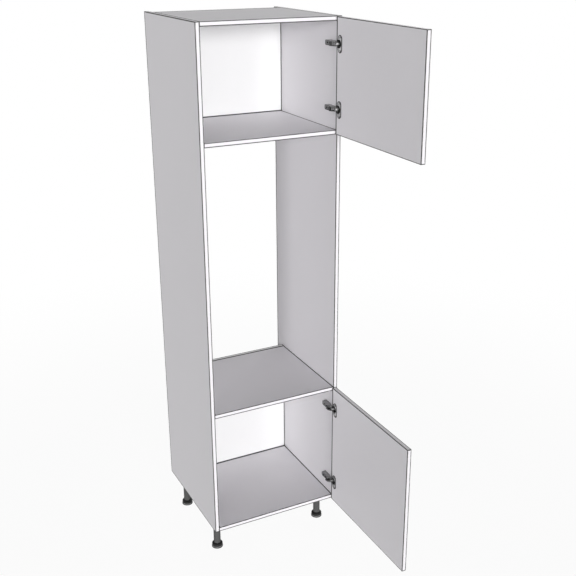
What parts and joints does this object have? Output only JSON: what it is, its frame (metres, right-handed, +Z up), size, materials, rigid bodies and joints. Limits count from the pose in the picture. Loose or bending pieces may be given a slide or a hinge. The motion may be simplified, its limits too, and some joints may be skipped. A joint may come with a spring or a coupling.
{
  "type": "tall oven housing unit",
  "caption": "Tall white kitchen unit for a built-in oven: cupboards above and below an open aperture, slab doors on cup hinges, on levelling legs.",
  "frame": {"origin": "on the floor, at the middle of the outline that the unit has with both doors open at a right angle", "axes": "+Z up, the doors and the open front face -Y, +X to the right of someone facing the front"},
  "size_m": [0.6, 1.1614, 2.3],
  "materials": {
    "white_board": "white melamine faced board, satin",
    "edge_band": "white edge band, satin",
    "dowel_wood": "bare beech",
    "tube_plastic": "dark grey moulded plastic",
    "socket_plastic": "dark grey moulded plastic",
    "foot_plastic": "black moulded plastic",
    "screw_steel": "zinc plated steel",
    "cam_zinc": "die-cast zinc",
    "arm_steel": "nickel plated steel",
    "plate_steel": "nickel plated steel",
    "cup_steel": "nickel plated steel",
    "link_steel_light": "nickel plated steel",
    "link_steel_dark": "dark plated steel"
  },
  "bodies": {
    "carcass": {"back_dowels": "dowel_wood", "base_panel": "white_board", "cam_bolts": "screw_steel", "cam_locks": "cam_zinc", "hinge_arm_pins": "screw_steel", "hinge_arm_screws": "screw_steel", "hinge_plate_screws": "screw_steel", "left_side_edge_band": "edge_band", "left_side_panel": "white_board", "leg_socket_front_left": "socket_plastic", "leg_socket_front_right": "socket_plastic", "leg_socket_rear_left": "socket_plastic", "leg_socket_rear_right": "socket_plastic", "leg_socket_screws": "screw_steel", "leg_tube_front_left": "tube_plastic", "leg_tube_front_right": "tube_plastic", "leg_tube_rear_left": "tube_plastic", "leg_tube_rear_right": "tube_plastic", "lower_back_panel": "white_board", "lower_door_bottom_hinge_arm": "arm_steel", "lower_door_bottom_hinge_plate": "plate_steel", "lower_door_top_hinge_arm": "arm_steel", "lower_door_top_hinge_plate": "plate_steel", "oven_shelf": "white_board", "right_side_edge_band": "edge_band", "right_side_panel": "white_board", "shelf_dowels": "dowel_wood", "shelf_edge_bands": "edge_band", "top_panel": "white_board", "upper_back_panel": "white_board", "upper_door_bottom_hinge_arm": "arm_steel", "upper_door_bottom_hinge_plate": "plate_steel", "upper_door_top_hinge_arm": "arm_steel", "upper_door_top_hinge_plate": "plate_steel", "upper_shelf": "white_board"},
    "foot_front_left": {"leg_foot_front_left": "foot_plastic"},
    "foot_front_right": {"leg_foot_front_right": "foot_plastic"},
    "foot_rear_left": {"leg_foot_rear_left": "foot_plastic"},
    "foot_rear_right": {"leg_foot_rear_right": "foot_plastic"},
    "lower_door": {"lower_door_bottom_hinge_cup": "cup_steel", "lower_door_cup_pins": "screw_steel", "lower_door_cup_screws": "screw_steel", "lower_door_edge_bands": "edge_band", "lower_door_panel": "white_board", "lower_door_top_hinge_cup": "cup_steel"},
    "lower_inner_links": {"lower_door_bottom_hinge_inner_link": "link_steel_dark", "lower_door_top_hinge_inner_link": "link_steel_dark"},
    "lower_outer_links": {"lower_door_bottom_hinge_outer_link": "link_steel_light", "lower_door_top_hinge_outer_link": "link_steel_light"},
    "upper_door": {"upper_door_bottom_hinge_cup": "cup_steel", "upper_door_cup_pins": "screw_steel", "upper_door_cup_screws": "screw_steel", "upper_door_edge_bands": "edge_band", "upper_door_panel": "white_board", "upper_door_top_hinge_cup": "cup_steel"},
    "upper_inner_links": {"upper_door_bottom_hinge_inner_link": "link_steel_dark", "upper_door_top_hinge_inner_link": "link_steel_dark"},
    "upper_outer_links": {"upper_door_bottom_hinge_outer_link": "link_steel_light", "upper_door_top_hinge_outer_link": "link_steel_light"}
  },
  "joints": [
    {"name": "upper_outer_link_turn", "type": "hinge", "parent": "carcass", "child": "upper_outer_links", "pos_m": [0.2579, 0.03666, 2.073], "axis": [0, 0, 1], "range_deg": [-4.6, 27.1]},
    {"name": "upper_door_swing", "type": "hinge", "parent": "upper_outer_links", "child": "upper_door", "pos_m": [0.27524, 0.00504, 2.073], "axis": [0, 0, 1], "range_deg": [-117, 19.5]},
    {"name": "upper_inner_link_turn", "type": "hinge", "parent": "carcass", "child": "upper_inner_links", "pos_m": [0.2718, 0.01936, 2.073], "axis": [0, 0, 1], "range_deg": [-8.3, 49.1]},
    {"name": "lower_outer_link_turn", "type": "hinge", "parent": "carcass", "child": "lower_outer_links", "pos_m": [0.2579, 0.03666, 0.437], "axis": [0, 0, 1], "range_deg": [-4.6, 27.1]},
    {"name": "lower_door_swing", "type": "hinge", "parent": "lower_outer_links", "child": "lower_door", "pos_m": [0.27524, 0.00504, 0.437], "axis": [0, 0, 1], "range_deg": [-117, 19.5]},
    {"name": "lower_inner_link_turn", "type": "hinge", "parent": "carcass", "child": "lower_inner_links", "pos_m": [0.2718, 0.01936, 0.437], "axis": [0, 0, 1], "range_deg": [-8.3, 49.1]},
    {"name": "foot_front_left_screw", "type": "slide", "parent": "carcass", "child": "foot_front_left", "axis": [0, 0, -1], "range_m": [0, 0.03]},
    {"name": "foot_front_right_screw", "type": "slide", "parent": "carcass", "child": "foot_front_right", "axis": [0, 0, -1], "range_m": [0, 0.03]},
    {"name": "foot_rear_left_screw", "type": "slide", "parent": "carcass", "child": "foot_rear_left", "axis": [0, 0, -1], "range_m": [0, 0.03]},
    {"name": "foot_rear_right_screw", "type": "slide", "parent": "carcass", "child": "foot_rear_right", "axis": [0, 0, -1], "range_m": [0, 0.03]}
  ],
  "couplings": [
    {"joint": "upper_outer_link_turn", "follows": "upper_door_swing", "ratio": -0.23077},
    {"joint": "upper_inner_link_turn", "follows": "upper_door_swing", "ratio": -0.41846},
    {"joint": "lower_outer_link_turn", "follows": "lower_door_swing", "ratio": -0.23077},
    {"joint": "lower_inner_link_turn", "follows": "lower_door_swing", "ratio": -0.41846}
  ]
}
